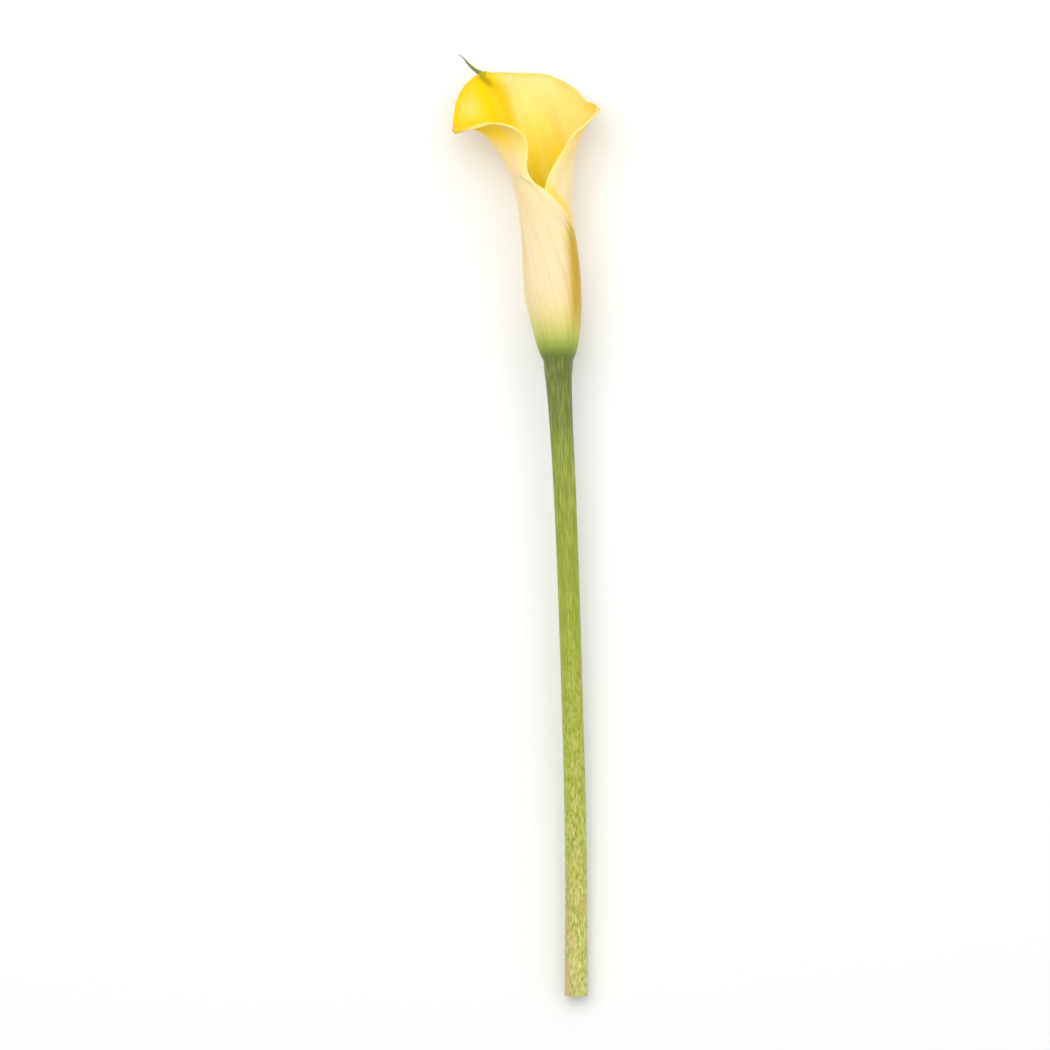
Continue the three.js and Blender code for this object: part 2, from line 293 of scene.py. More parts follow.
bpy.ops.mesh.primitive_grid_add(x_subdivisions=SHEET_COLUMNS, y_subdivisions=SHEET_ROWS, size=1)
spathe = bpy.context.object
spathe.name = "spathe_sheet"
mesh = spathe.data
flat = np.empty(len(mesh.vertices) * 3)
mesh.vertices.foreach_get("co", flat)
flat = flat.reshape(-1, 3)
across = flat[:, 0] + 0.5
rise = flat[:, 1] + 0.5
up = rise * (1 + CROWDING_AT_LIP * (1 - rise))
azimuth, station = sheet_station(across, up)
grid = sheet_face(across, up).reshape(SHEET_ROWS + 1, SHEET_COLUMNS + 1, 3)
eased = bell(azimuth - MIDRIB, EASED_WIDTH) * ramp((station - FLARE_START) / EASING_RISE)
eased = eased.reshape(SHEET_ROWS + 1, SHEET_COLUMNS + 1, 1)[:, 1:-1]
for _ in range(EASING_ROUNDS):
    grid[:, 1:-1] += 0.5 * eased * ((grid[:, :-2] + grid[:, 2:]) / 2 - grid[:, 1:-1])
tip_column = int(np.abs(azimuth.reshape(SHEET_ROWS + 1, -1)[-1] - MIDRIB).argmin())
from_margin = np.linalg.norm(grid - grid[:, -1:], axis=-1).ravel()
at_lip = rising(station, LIP_DRAWN_FROM, WALL_END)
at_margin = bell(from_margin, MARGIN_DRAWN_WIDTH) * (across > 0.5)
for axis in (0, 1):
    drawn = through(LIP_DRAWN, azimuth, axis + 1) * at_lip + through(MARGIN_DRAWN, up, axis + 1) * at_margin
    for turned, height, wide, tall, *way in SWELLS:
        drawn += way[axis] * bell(azimuth - turned, wide) * bell(station - height, tall)
    grid[:, :, axis] += drawn.reshape(SHEET_ROWS + 1, -1)
drawn = bell(azimuth - MIDRIB, TIP_WIDTH) * rising(station, TIP_START, WALL_END)
grid += drawn.reshape(SHEET_ROWS + 1, -1, 1) * (np.array(TIP) - grid[-1, tip_column])
face = grid.reshape(-1, 3)
outward = outward_of(grid).reshape(-1, 3)
steps_across = np.linalg.norm(np.diff(grid, axis=1), axis=2)
steps_up = np.linalg.norm(np.diff(grid, axis=0), axis=2)
from_inner = np.pad(np.cumsum(steps_across, axis=1), ((0, 0), (1, 0)))
from_outer = from_inner[:, -1:] - from_inner
along = np.pad(np.cumsum(steps_up, axis=0), ((1, 0), (0, 0)))
to_lip = (along[-1:] - along).ravel()
to_inner, to_outer, along = from_inner.ravel(), from_outer.ravel(), along.ravel()
vein = vein_place(across, up)

pleat = np.cos(2 * np.pi * vein / PLEAT_SPACING + PLEAT_SWAY * np.sin(along / PLEAT_SWAY_LENGTH))
pleat *= rising(to_lip, 3, 23) * ramp((np.abs(azimuth - MIDRIB) - 6) / 30 + rising(station, 80, 60))
relief = VEIN_HEIGHT * np.cos(2 * np.pi * vein / VEIN_SPACING) * rising(to_lip, 5, 19) + PLEAT_HEIGHT * pleat
relief *= rising(np.minimum(to_inner, to_outer), 0, 3) * rising(along, 2, 14)
wave = np.sin(azimuth * WAVE_PACE + WAVE_UNEVENNESS * np.sin(azimuth * WAVE_UNEVEN_PACE))
relief += WAVE_HEIGHT * wave * rising(to_lip, 9, 0) + GUTTER_DEPTH * gutter(across, up)
place = face + outward * relief[:, None]
place[:, 2] = np.maximum(place[:, 2], EDGE_WALL * np.maximum(outward[:, 2], 0))
mesh.vertices.foreach_set("co", (place * MM + np.array(SPATHE_FOOT)).ravel())

# Marks for the tissue's colours, and for the light and shade painted into them: distances in millimetres, and
# shares from 0 to 1. Each share says at which azimuth, station or distance it begins and is full.
margin_samples = np.linspace(0, 0.9, 91)
outer_edge_at = np.interp(station, *(through(OUTER_MARGIN, margin_samples, column) for column in (2, 1)))
reach, _ = wall_at(np.clip(azimuth, 0, 360), station)
past_overlap = np.maximum((azimuth - outer_edge_at + 360) * np.pi / 180 * reach, 0)
rim = np.concatenate([grid[-1], grid[:, -1]])
from_rim = np.min(np.linalg.norm(place[:, None] - rim[None], axis=2), axis=1)
crest_row = np.argmax(grid[:, :, 1], axis=0)
along_grid = along.reshape(SHEET_ROWS + 1, SHEET_COLUMNS + 1)
from_crest = np.abs(along_grid - along_grid[crest_row, np.arange(SHEET_COLUMNS + 1)]).ravel()
from_root = place - np.array(SHADE_ROOT + (0,))
down_shade = from_root[:, 0] * SHADE_WAY[0] + from_root[:, 1] * SHADE_WAY[1]
aside_shade = from_root[:, 0] * SHADE_WAY[1] - from_root[:, 1] * SHADE_WAY[0]
below_root = np.maximum(down_shade, 0)
marks = {
    "share_up": station / WALL_END,
    "to_lip": to_lip,
    "to_margin": np.minimum(to_inner, to_outer),
    "from_corner": np.linalg.norm(place - place[np.argmax(across + up)], axis=1),
    "from_crest": from_crest,
    "streaked": 0.45 * rising(station, 95, 0),
    "foot": rising(station, 21, 5),
    # Two layers of tissue where the outer turn lies over the inner one, darker golden, with painted shade on
    # that side of the tube.
    "doubled": rising(azimuth, 376, 420) * rising(station, 60, 40),
    # Painted glow: a band of brighter yellow on the turn below, beside the edge of the outer margin.
    "overlap": bell(past_overlap, 4) * (azimuth < 120) * rising(station, 8, 38),
    # Painted glow: golden yellow on the outer face of the left lip and under the left lobe, which lie in
    # shade.
    "left_lip": rising(azimuth, 232, 275) * rising(azimuth, 330, 296) * rising(station, 68, 82)
    * rising(from_rim, 20, 0),
    "underside": rising(azimuth, 243, 265) * rising(azimuth, 322, 292) * rising(station, 75, 88)
    * rising(from_rim, 16, 5),
    "root": bell(np.linalg.norm(place[:, :2] - np.array(PINCH_GREEN), axis=1), 1.3),
    "lobe": rising(azimuth, 200, 236) * rising(station, 60, 72),
    # Painted reflection: a paler patch of sheen in the left lobe.
    "pale": bell(np.linalg.norm(place[:, :2] - np.array(SHEEN_PATCH), axis=1), 3.4),
    "right_lobe": rising(azimuth, 165, 110) * rising(station, 70, 90),
    # Painted shade: darker golden towards the right lip.
    "right_lip": rising(azimuth, 125, 95) * rising(to_lip, 13, 0),
    # Painted shade below the thread: a golden band down the gutter, and a dark olive core near its root.
    "crease": bell(aside_shade, 1 + 0.28 * below_root) * rising(down_shade, -0.5, 1.5)
    * rising(down_shade, 18, 7),
    "pinch": bell(aside_shade, 0.8 + 0.14 * below_root) * rising(down_shade, -0.6, 1)
    * rising(down_shade, 9.5, 2),
    "inside": np.zeros(len(up)),
    "thread": np.zeros(len(up)),
}
for name, values in {**marks, "across": across, "up": up, "turn": np.zeros(len(up))}.items():
    mesh.attributes.new(name, "FLOAT", "POINT").data.foreach_set("value", values)
grain = np.stack([vein, along, np.zeros(len(up))], axis=-1)
mesh.attributes.new("grain", "FLOAT_VECTOR", "POINT").data.foreach_set("vector", grain.ravel())

from_edge = np.minimum.reduce([across, 1 - across, up, 1 - up])
thickness = EDGE_WALL + (WALL - EDGE_WALL) * ramp(from_edge / EDGE_WIDTH)
group = spathe.vertex_groups.new(name="thickness")
for i, share in enumerate(thickness / WALL):
    group.add([i], float(share), "REPLACE")
wall = spathe.modifiers.new("wall", "SOLIDIFY")
wall.thickness = WALL * MM
wall.offset = -1
wall.vertex_group = "thickness"
bpy.ops.object.modifier_apply(modifier="wall")

# The thread is drawn out of the edge of the lip, ring by ring.
sheet_points = len(up)
inside = (np.arange(len(mesh.vertices)) >= sheet_points).astype(float)
mesh.attributes["inside"].data.foreach_set("value", inside)
values = np.empty(len(mesh.vertices))
mesh.attributes["across"].data.foreach_get("value", values)
column = np.rint(values * SHEET_COLUMNS).astype(int)
mesh.attributes["up"].data.foreach_get("value", values)
on_lip = values > 1 - 1e-5
first_column = tip_column - THREAD_COLUMNS // 2
turn = np.zeros(len(mesh.vertices))
root = on_lip & (column >= first_column) & (column <= first_column + THREAD_COLUMNS)
ring_step = 180 / (THREAD_COLUMNS + 1)
for i in np.flatnonzero(root):
    position = (column[i] - first_column + 0.5) * ring_step
    turn[i] = 180 - position if i < sheet_points else 180 + position
mesh.attributes["turn"].data.foreach_set("value", turn)

bpy.ops.object.mode_set(mode="EDIT")
bpy.ops.mesh.select_mode(type="FACE")
bpy.ops.mesh.select_all(action="DESELECT")
bm = bmesh.from_edit_mesh(mesh)
for face in bm.faces:
    face.select_set(all(root[v.index] for v in face.verts))
bm.select_flush(False)
bmesh.update_edit_mesh(mesh)
lip_outward = Vector(outward.reshape(SHEET_ROWS + 1, -1, 3)[-1, tip_column])
for k, (share, x, y, z, half_width, half_depth) in enumerate(THREAD):
    bpy.ops.mesh.extrude_region_move()
    bm = bmesh.from_edit_mesh(mesh)
    turn_layer = bm.verts.layers.float["turn"]
    thread_layer = bm.verts.layers.float["thread"]
    ahead = THREAD[min(k + 1, len(THREAD) - 1)]
    behind = THREAD[max(k - 1, 0)]
    along = Vector((ahead[1] - behind[1], ahead[2] - behind[2], ahead[3] - behind[3])).normalized()
    outside = (lip_outward - along * lip_outward.dot(along)).normalized()
    aside = along.cross(outside)
    for v in bm.verts:
        if v.select:
            angle = math.radians(v[turn_layer])
            offset = aside * math.cos(angle) * half_width + outside * math.sin(angle) * half_depth
            v.co = (Vector((x, y, z)) + offset) * MM + SPATHE_FOOT
            v[thread_layer] = share
    bmesh.update_edit_mesh(mesh)
bpy.ops.object.mode_set(mode="OBJECT")

# Smoothing draws rims and corners in, so the points are first moved out by most of what it would take.
RIM_HOLD = 0.7

held = np.empty(len(mesh.vertices) * 3)
mesh.vertices.foreach_get("co", held)
bpy.ops.object.duplicate()
trial = bpy.context.object
trial.modifiers.new("smooth", "SUBSURF").levels = 1
bpy.ops.object.modifier_apply(modifier="smooth")
drawn_in = np.empty(len(trial.data.vertices) * 3)
trial.data.vertices.foreach_get("co", drawn_in)
bpy.data.objects.remove(trial)
spathe.select_set(True)
bpy.context.view_layer.objects.active = spathe
mesh.vertices.foreach_set("co", held + RIM_HOLD * (held - drawn_in[:len(held)]))
smooth = spathe.modifiers.new("smooth", "SUBSURF")
smooth.levels = smooth.render_levels = 1
bpy.ops.object.modifier_apply(modifier="smooth")
mesh = spathe.data
points = np.empty(len(mesh.vertices) * 3)
mesh.vertices.foreach_get("co", points)
points[2::3] = np.maximum(points[2::3], 0)
mesh.vertices.foreach_set("co", points)
bpy.ops.object.shade_smooth()

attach(spathe, "root")
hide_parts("spathe")


def linear(colour):
    """Linear RGBA of an sRGB hex colour."""
    parts = [int(colour[i:i + 2], 16) / 255 for i in (1, 3, 5)]
    return tuple(c / 12.92 if c <= 0.04045 else ((c + 0.055) / 1.055) ** 2.4 for c in parts) + (1,)


def add(tree, kind, settings=None, **links):
    """Add a node with its settings; each link names a socket and gives the value or the socket it takes."""
    node = tree.nodes.new(kind)
    for name, value in (settings or {}).items():
        if name == "stops":
            stops = node.color_ramp.elements
            while len(stops) < len(value):
                stops.new(0.5)
            for stop, (position, colour) in zip(stops, value):
                stop.position, stop.color = position, linear(colour)
        else:
            setattr(node, name, value)
    for name, value in links.items():
        socket = node.inputs[int(name[1:])] if name[0] == "i" and name[1:].isdigit() else node.inputs[name]
        if isinstance(value, bpy.types.NodeSocket):
            tree.links.new(value, socket)
        else:
            socket.default_value = value
    return node


# Petal tissue: cells full of carotene under a thin wax. The wax gives a soft satin sheen, and light that
# enters the thin wall comes out again nearby, so shaded parts glow golden instead of turning grey.
# Much of the golden glow, and some shade and sheen, is also painted into the colours below.
petal = bpy.data.materials.new("waxy_petal_tissue")
petal.use_nodes = True
tree = petal.node_tree
shader = tree.nodes["Principled BSDF"]
SOFT = {"interpolation_type": "SMOOTHSTEP"}
OVER = {"data_type": "RGBA", "clamp_factor": True}
grain = add(tree, "ShaderNodeAttribute", {"attribute_name": "grain"}).outputs["Vector"]
# Streaks along the veins, 1.2 and 0.5 mm wide, and clouds 7 mm wide.
noises = []
for wide, long in ((1.2, 26), (0.5, 20), (7, 30)):
    place = add(tree, "ShaderNodeMapping", Vector=grain, Scale=(1 / wide, 1 / long, 1)).outputs[0]
    noises.append(add(tree, "ShaderNodeTexNoise", Vector=place, Scale=1.0, Detail=2.0).outputs["Fac"])
streak, hair, cloud = noises
at = {name: add(tree, "ShaderNodeAttribute", {"attribute_name": name}).outputs["Fac"] for name in marks}

# The wall from foot to lip, outside and inside.
OUTSIDE_COLOURS = [
    (0, "#e8de8c"), (0.16, "#f0e19c"), (0.26, "#f6e6ba"), (0.5, "#f7e4b6"), (0.66, "#fae3a2"),
    (0.82, "#fde088"), (1, "#fdd44a"),
]
FOOT_COLOURS = [
    (0, "#66762f"), (0.024, "#74853a"), (0.05, "#9cab4c"), (0.09, "#c1c860"), (0.14, "#d6d472"),
    (0.2, "#e4dc8c"),
]
INSIDE_COLOURS = [
    (0.45, "#ffe800"), (0.6, "#ffe900"), (0.68, "#ffe534"), (0.78, "#fee078"), (0.88, "#f9db88"),
    (1, "#f8d268"),
]
# Tints laid over it: the mark or noise that each follows, where it begins and is full, how much of it, and
# its colour.
OUTSIDE_TINTS = [
    (cloud, 0.35, 0.65, 0.5, "#f8dba6"), (streak, 0.42, 0.72, at["streaked"], "#e3c568"),
    # Darker golden over the two layers of tissue on the right side of the tube, partly painted shade.
    (at["doubled"], 0, 1, 0.95, "#e0bc46"), (at["doubled"], 0.5, 1, 0.75, "#c6a428"),
    (streak, 0.4, 0.75, at["doubled"], "#c6a030"),
    # Painted glow: golden yellow beside the overlapping margin, and on the shaded outer face under the left
    # lobe and its lip.
    (at["overlap"], 0, 1, 0.85, "#fbd54e"), (at["left_lip"], 0, 1, 1, "#ffd43c"),
    # Painted highlight: lighter yellow along the thin margins.
    (at["to_margin"], 2.4, 0, 0.75, "#feec88"), (at["underside"], 0, 1, 1, "#ffd800"),
]
INSIDE_TINTS = [
    (streak, 0.42, 0.72, 0.4, "#f9d95c"), (cloud, 0.35, 0.65, 0.25, "#ffeea6"),
    (at["lobe"], 0, 1, 1, "#fad000"), (cloud, 0.35, 0.65, at["lobe"], "#fbd42c"),
    # Painted reflection: a paler sheen in the left lobe.
    (cloud, 0.25, 0.6, at["pale"], "#fbd86c"),
    # Painted shade: darker golden near the right lip.
    (at["right_lobe"], 0, 1, 0.55, "#f6d464"), (at["right_lip"], 0, 1, 0.9, "#efc034"),
    # Painted highlight: paler yellow along the margins.
    (at["to_margin"], 5, 0, 0.75, "#fcea9c"), (at["from_crest"], 2.2, 0, 0.8, "#fbd010"),
    # Painted shade below the thread: golden down the gutter, dark olive near its root.
    (at["crease"], 0, 1, 0.65, "#eec400"), (at["pinch"], 0, 1, 0.85, "#aa9000"),
]
EDGE_TINTS = [
    (at["to_lip"], 1.6, 0, 0.9, "#ffe61a"), (at["from_corner"], 4.5, 0, 1, "#ffb50e"),
    (at["from_corner"], 0.9, 0, 1, "#98a068"), (at["root"], 0.1, 0.9, 0.85, "#8d9024"),
]
THREAD_COLOURS = [(0, "#98922a"), (0.1, "#8b913c"), (0.3, "#7f8b52"), (0.6, "#838e68"), (1, "#b4b7a4")]
faces = []
for stops, tints in ((OUTSIDE_COLOURS, OUTSIDE_TINTS), (INSIDE_COLOURS, INSIDE_TINTS)):
    colour = add(tree, "ShaderNodeValToRGB", {"stops": stops}, Fac=at["share_up"]).outputs["Color"]
    for value, begins, full, most, tint in tints:
        share = add(tree, "ShaderNodeMapRange", SOFT, i0=value, i1=begins, i2=full, i4=most).outputs[0]
        colour = add(tree, "ShaderNodeMix", OVER, i0=share, i6=colour, i7=linear(tint)).outputs[2]
    faces.append(colour)
foot = add(tree, "ShaderNodeValToRGB", {"stops": FOOT_COLOURS}, Fac=at["share_up"]).outputs["Color"]
share = add(tree, "ShaderNodeMapRange", i0=hair, i1=0.45, i2=0.75, i4=0.55).outputs[0]
foot = add(tree, "ShaderNodeMix", OVER, i0=share, i6=foot, i7=linear("#8f9e3c")).outputs[2]
outside = add(tree, "ShaderNodeMix", OVER, i0=at["foot"], i6=faces[0], i7=foot).outputs[2]
colour = add(tree, "ShaderNodeMix", OVER, i0=at["inside"], i6=outside, i7=faces[1]).outputs[2]
for value, begins, full, most, tint in EDGE_TINTS:
    share = add(tree, "ShaderNodeMapRange", SOFT, i0=value, i1=begins, i2=full, i4=most).outputs[0]
    colour = add(tree, "ShaderNodeMix", OVER, i0=share, i6=colour, i7=linear(tint)).outputs[2]
green = add(tree, "ShaderNodeValToRGB", {"stops": THREAD_COLOURS}, Fac=at["thread"]).outputs["Color"]
share = add(tree, "ShaderNodeMapRange", SOFT, i0=at["thread"], i1=0, i2=0.06).outputs[0]
colour = add(tree, "ShaderNodeMix", OVER, i0=share, i6=colour, i7=green).outputs[2]
rough = add(tree, "ShaderNodeMapRange", i0=hair, i1=0.3, i2=0.7, i3=0.38, i4=0.5).outputs[0]
height = add(tree, "ShaderNodeMath", {"operation": "MULTIPLY_ADD"}, i0=hair, i1=0.5, i2=streak).outputs[0]
bump = add(tree, "ShaderNodeBump", Height=height, Strength=0.35, Distance=0.00012).outputs[0]
# The inner face is more velvety than the outer one, so it reflects less.
sheen = add(tree, "ShaderNodeMapRange", i0=at["inside"], i3=0.32, i4=0.1).outputs[0]
looks = {"Base Color": colour, "Roughness": rough, "Specular IOR Level": sheen, "Normal": bump}
for name, value in looks.items():
    tree.links.new(value, shader.inputs[name])
shader.inputs["IOR"].default_value = 1.42
shader.inputs["Subsurface Weight"].default_value = 0.3
shader.inputs["Subsurface Radius"].default_value = (1.0, 0.6, 0.15)
shader.inputs["Subsurface Scale"].default_value = 0.0015
spathe.data.materials.append(petal)

# Stalk: a fleshy scape of long fibres under a thin waxy skin, finely ribbed, that swells where the spathe
# grows from it. It was cut through at the bottom, so its end shows the skin as a ring round pale pith with
# darker vessels.
# The stalk, by height over the foot of the spathe: how far it bends aside, and its radius.
STALK_BEND = [(-217, 6.4), (-165, 6.2), (-116, 5), (-50, 2.7), (0, 0)]
STALK_RADIUS = [(-217, 4), (-180, 3.75), (-90, 3.7), (-25, 4), (-8, 4.45), (-2, 4.9), (0, 5)]
STALK_LENGTH = 217
END_HEIGHT = 3.85
STALK_SIDES = 96
STALK_RINGS = 200
# Two sets of ribs: how many round the stalk, share of the height, where the first one is, and how far and how
# slowly they sway.
RIB_SETS = [(22, 1, 0, 0.6, 31), (13, 0.5, 1.7, 0.5, 23)]
RIB_HEIGHT = 0.05
# Degrees over which the step at the spathe's outer margin is eased in the shoulder below it.
STEP_WIDTH = 14
# The shoulder that closes over the foot of the spathe: height above the foot, and how far it stands proud.
SHOULDER = [
    (0.0, 0.1), (0.4, 0.09), (0.8, 0.07), (1.2, 0.05), (1.6, 0.02), (2.0, -0.03), (2.3, -0.12), (2.4, -0.6),
]
# Rings of the cut face: share of the radius, and how far the pith is drawn in behind the skin.
CUT_RINGS = [(0.93, -0.06), (0.86, 0.1), (0.78, 0.2), (0.6, 0.22), (0.4, 0.18), (0.2, 0.14), (0.06, 0.12)]


def foot_radius(angle, y):
    """Radius of the outermost turn of the spathe, by direction and height above its foot."""
    last = OUTER_MARGIN[0][1]
    azimuth = np.degrees(angle) % 360
    to_step = np.abs(azimuth - last + 360)
    azimuth = np.where(azimuth + 360 <= last, azimuth + 360, azimuth)
    turn = azimuth + (last - 180 - azimuth) * rising(to_step, STEP_WIDTH, 0)
    spacing = TURN_SPACING * (FOOT_SPACING_SHARE + (1 - FOOT_SPACING_SHARE) * np.minimum(y / FOOT_LENGTH, 1))
    return through(TUBE, y) + spacing * (turn - 180) / 360


bpy.ops.object.select_all(action="DESELECT")
bpy.ops.mesh.primitive_cylinder_add(vertices=STALK_SIDES, radius=1, depth=1)
stalk = bpy.context.object
stalk.name = "flower_stalk"
mesh = stalk.data
bpy.ops.object.mode_set(mode="EDIT")
bpy.ops.mesh.select_mode(type="EDGE")
bpy.ops.mesh.select_all(action="DESELECT")
bm = bmesh.from_edit_mesh(mesh)
for edge in bm.edges:
    edge.select_set(abs(edge.verts[0].co.z - edge.verts[1].co.z) > 0.5)
bmesh.update_edit_mesh(mesh)
bpy.ops.mesh.subdivide(number_cuts=STALK_RINGS - 1)
bpy.ops.object.mode_set(mode="OBJECT")

points = np.empty(len(mesh.vertices) * 3)
mesh.vertices.foreach_get("co", points)
points = points.reshape(-1, 3)
share = points[:, 2] + 0.5
angle = np.arctan2(points[:, 0], points[:, 1])
shoulder_rings = len(SHOULDER)
ring = np.rint(share * STALK_RINGS).astype(int)
straight_rings = STALK_RINGS - shoulder_rings
y = -STALK_LENGTH + STALK_LENGTH * np.minimum(ring / straight_rings, 1)
radius = through(STALK_RADIUS, y)
radius += (foot_radius(angle, 0 * y) + SHOULDER[0][1] - radius) * rising(y, -5, 0)
over = np.clip(ring - straight_rings, 0, shoulder_rings) - 1
on_shoulder = over >= 0
y = np.where(on_shoulder, np.array(SHOULDER)[over, 0], y)
radius = np.where(on_shoulder, foot_radius(angle, y) + np.array(SHOULDER)[over, 1], radius)
rib = 0
for count, size, start, sway, sway_length in RIB_SETS:
    rib += size * np.cos(count * angle + start + sway * np.sin(y / sway_length))
radius -= RIB_HEIGHT * (1 - rib) * rising(y, -4, -14) * ramp((y + STALK_LENGTH) / 3)
bend = through(STALK_BEND, y)
middle_z = np.interp(y, (-STALK_LENGTH, 0, 1), (END_HEIGHT, AXIS_HEIGHT, AXIS_HEIGHT + AXIS_RISE))
bend += np.where(y > 0, axis_x(y), 0)
place_z = np.maximum(middle_z + radius * np.cos(angle), 0)
place = np.stack([bend + radius * np.sin(angle), y, place_z], axis=-1)
mesh.vertices.foreach_set("co", (place * MM + np.array(SPATHE_FOOT)).ravel())
grain = np.stack([4 * np.sin(angle), y, 4 * np.cos(angle)], axis=-1)
mesh.attributes.new("grain", "FLOAT_VECTOR", "POINT").data.foreach_set("vector", grain.ravel())
mesh.update()

# Cut end: the skin stands as a ring, the pith is drawn in by a hair and swells slightly in the middle.
bpy.ops.object.mode_set(mode="EDIT")
bpy.ops.mesh.select_mode(type="FACE")
bpy.ops.mesh.select_all(action="DESELECT")
bm = bmesh.from_edit_mesh(mesh)
for part in bm.faces:
    part.select_set(len(part.verts) > 4 and part.calc_center_median().y < 0)
bmesh.update_edit_mesh(mesh)
cut_middle = Vector((STALK_BEND[0][1], -STALK_LENGTH, END_HEIGHT)) * MM + SPATHE_FOOT
before = 1
for ring, drawn_in in CUT_RINGS:
    bpy.ops.mesh.extrude_region_move()
    bm = bmesh.from_edit_mesh(mesh)
    for v in bm.verts:
        if v.select:
            v.co = cut_middle + (v.co - cut_middle) * (ring / before)
            v.co.y = cut_middle.y + drawn_in * MM
    bmesh.update_edit_mesh(mesh)
    before = ring
bpy.ops.mesh.poke()
bpy.ops.mesh.select_all(action="SELECT")
bpy.ops.mesh.normals_make_consistent(inside=False)
bpy.ops.object.mode_set(mode="OBJECT")
bpy.ops.object.shade_smooth_by_angle(angle=math.radians(50))
for part in mesh.polygons:
    part.material_index = int(part.center.y < cut_middle.y + 0.3 * MM and abs(part.normal.y) > 0.5)

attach(stalk, "root")
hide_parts("flower_stem")

# Stalk skin: green cells under thin wax over bundles of fibres. The fibres show as paler lines along it, the
# wax gives a satin sheen, and the lower part is paler with flecks of tan.
skin = bpy.data.materials.new("waxy_stalk_skin")
skin.use_nodes = True
tree = skin.node_tree
shader = tree.nodes["Principled BSDF"]
grain = add(tree, "ShaderNodeAttribute", {"attribute_name": "grain"}).outputs["Vector"]
height = add(tree, "ShaderNodeSeparateXYZ", Vector=grain).outputs["Y"]
# Fibres 0.45 mm wide and 7 mm long, dashes of 0.6 by 2 mm, and blotches of 4 by 9 mm.
noises = []
for wide, long, detail in ((0.45, 7, 3.0), (0.6, 2, 4.0), (4, 9, 3.0)):
    place = add(tree, "ShaderNodeMapping", Vector=grain, Scale=(1 / wide, 1 / long, 1 / wide)).outputs[0]
    noises.append(add(tree, "ShaderNodeTexNoise", Vector=place, Scale=1.0, Detail=detail).outputs["Fac"])
fibre, dash, blotch = noises
# Shares by height above the spathe's foot: where each begins and is full, and how much.
reaches = ((-40, 0, 0.75), (-90, -190, 1), (-165, -215, 0.8), (-20, -120, 0.75))
top, low, lowest, under = (
    add(tree, "ShaderNodeMapRange", i0=height, i1=begins, i2=full, i4=most).outputs[0]
    for begins, full, most in reaches
)
SKIN_COLOURS = [
    (0, "#cbc87a"), (0.12, "#bcc052"), (0.35, "#a9b238"), (0.62, "#98a32e"), (0.82, "#87942f"),
    (0.93, "#727d33"), (0.975, "#626e32"), (0.989, "#66762f"), (1, "#74853a"),
]
SKIN_TINTS = [
    (fibre, 0.46, 0.7, 0.75, "#c2c957"), (height, -34, -6, 0.9, "#68742f"),
    (fibre, 0.46, 0.7, top, "#93a04a"), (dash, 0.5, 0.66, low, "#dedb92"),
    (dash, 0.47, 0.34, under, "#7c8c24"), (blotch, 0.52, 0.66, lowest, "#d8b488"),
]
share = add(tree, "ShaderNodeMapRange", i0=height, i1=-STALK_LENGTH, i2=2).outputs[0]
colour = add(tree, "ShaderNodeValToRGB", {"stops": SKIN_COLOURS}, Fac=share).outputs["Color"]
for value, begins, full, most, tint in SKIN_TINTS:
    share = add(tree, "ShaderNodeMapRange", i0=value, i1=begins, i2=full, i4=most).outputs[0]
    colour = add(tree, "ShaderNodeMix", OVER, i0=share, i6=colour, i7=linear(tint)).outputs[2]
rough = add(tree, "ShaderNodeMapRange", i0=fibre, i1=0.3, i2=0.7, i3=0.36, i4=0.48).outputs[0]
bump = add(tree, "ShaderNodeBump", Height=fibre, Strength=0.4, Distance=0.00012).outputs[0]
for name, value in (("Base Color", colour), ("Roughness", rough), ("Normal", bump)):
    tree.links.new(value, shader.inputs[name])
shader.inputs["IOR"].default_value = 1.42
shader.inputs["Subsurface Weight"].default_value = 0.15
shader.inputs["Subsurface Radius"].default_value = (0.9, 1.0, 0.2)
shader.inputs["Subsurface Scale"].default_value = 0.001
stalk.data.materials.append(skin)

# Fresh-cut pith: wet and pale, greener towards the skin, so it looks glossy and a little deep, with darker
# vessels about 0.3 mm wide.
pith = bpy.data.materials.new("wet_cut_pith")
pith.use_nodes = True
tree = pith.node_tree
shader = tree.nodes["Principled BSDF"]
spot = add(tree, "ShaderNodeTexCoord").outputs["Object"]
centred = add(tree, "ShaderNodeMapping", Vector=spot, Location=tuple(-c for c in cut_middle)).outputs[0]
turned = add(tree, "ShaderNodeMapping", Vector=centred, Rotation=(math.pi / 2, 0, 0)).outputs[0]
in_mm = (1 / MM, 1 / MM, 0)
on_cut = add(tree, "ShaderNodeVectorMath", {"operation": "MULTIPLY"}, i0=turned, i1=in_mm).outputs[0]
from_middle = add(tree, "ShaderNodeVectorMath", {"operation": "LENGTH"}, i0=on_cut).outputs["Value"]
cells = {"feature": "F1", "voronoi_dimensions": "2D"}
vessel = add(tree, "ShaderNodeTexVoronoi", cells, Vector=on_cut, Scale=1.3, Randomness=0.8).outputs[0]
PITH_COLOURS = [(0, "#e9e7b4"), (0.6, "#e2e3a6"), (0.84, "#cbd27e"), (0.92, "#9aad48"), (1, "#8f9f42")]
share = add(tree, "ShaderNodeMapRange", i0=from_middle, i2=STALK_RADIUS[0][1]).outputs[0]
colour = add(tree, "ShaderNodeValToRGB", {"stops": PITH_COLOURS}, Fac=share).outputs["Color"]
share = add(tree, "ShaderNodeMapRange", i0=vessel, i1=0.3, i2=0.16, i4=0.7).outputs[0]
colour = add(tree, "ShaderNodeMix", OVER, i0=share, i6=colour, i7=linear("#a9b568")).outputs[2]
tree.links.new(colour, shader.inputs["Base Color"])
shader.inputs["Roughness"].default_value = 0.3
shader.inputs["Subsurface Weight"].default_value = 0.2
shader.inputs["Subsurface Radius"].default_value = (0.9, 1.0, 0.4)
